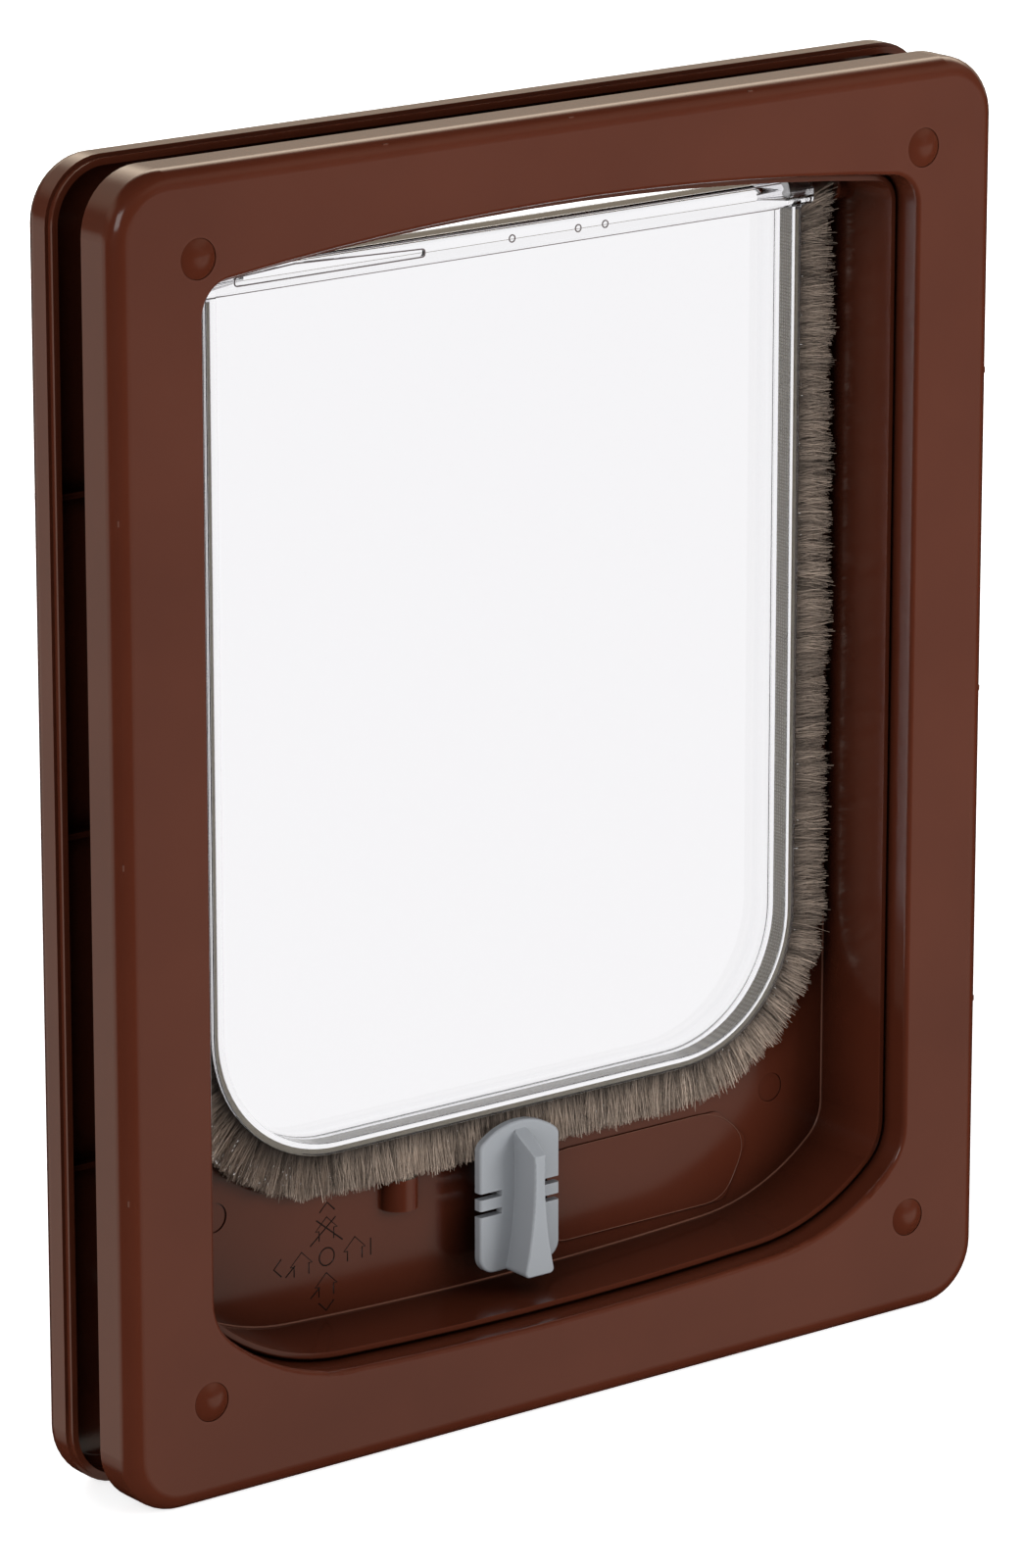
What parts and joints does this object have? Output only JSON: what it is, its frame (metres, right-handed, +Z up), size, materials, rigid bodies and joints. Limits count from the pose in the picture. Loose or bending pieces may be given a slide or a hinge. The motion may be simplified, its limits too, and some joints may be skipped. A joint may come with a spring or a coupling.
{
  "type": "dog door",
  "caption": "Framed dog door for a thin door panel: trim frames clamp it from both sides, a clear flap with a brush seal swings both ways, and a turn knob locks it.",
  "frame": {"origin": "middle of the bottom edges, half way through the overall depth with the screw caps", "axes": "+Z up, +Y outdoors (from the knob's side to the cam's side), +X to the right as seen from indoors"},
  "size_m": [0.291, 0.0414, 0.356],
  "materials": {
    "brown_frame": "satin moulded",
    "brown_cap": "satin moulded",
    "zinc_steel": "zinc plated",
    "clear_flap": "clear polished",
    "grey_tape": "woven tape",
    "grey_pile": "brush pile",
    "grey_knob": "satin moulded"
  },
  "bodies": {
    "frame": {"front_frame": "brown_frame", "rear_frame": "brown_frame", "fixing_screws": "zinc_steel", "hinge_pin_left": "zinc_steel", "hinge_pin_right": "zinc_steel", "screw_cap_bottom_left": "brown_cap", "screw_cap_bottom_right": "brown_cap", "screw_cap_top_left": "brown_cap", "screw_cap_top_right": "brown_cap"},
    "flap": {"flap_panel": "clear_flap", "pile_backing": "grey_tape", "brush_pile": "grey_pile"},
    "lock": {"lock_knob": "grey_knob", "lock_cam": "grey_knob", "lock_washer": "zinc_steel", "lock_screw": "zinc_steel"}
  },
  "joints": [
    {"name": "flap_swing", "type": "hinge", "parent": "frame", "child": "flap", "pos_m": [0, 0.01175, 0.3187], "axis": [1, 0, 0], "range_deg": [-85, 85], "deforming": ["brush_pile"]},
    {"name": "lock_turn", "type": "hinge", "parent": "frame", "child": "lock", "pos_m": [0, 0, 0.058], "axis": [0, 1, 0], "range_deg": [-90, 180]}
  ]
}
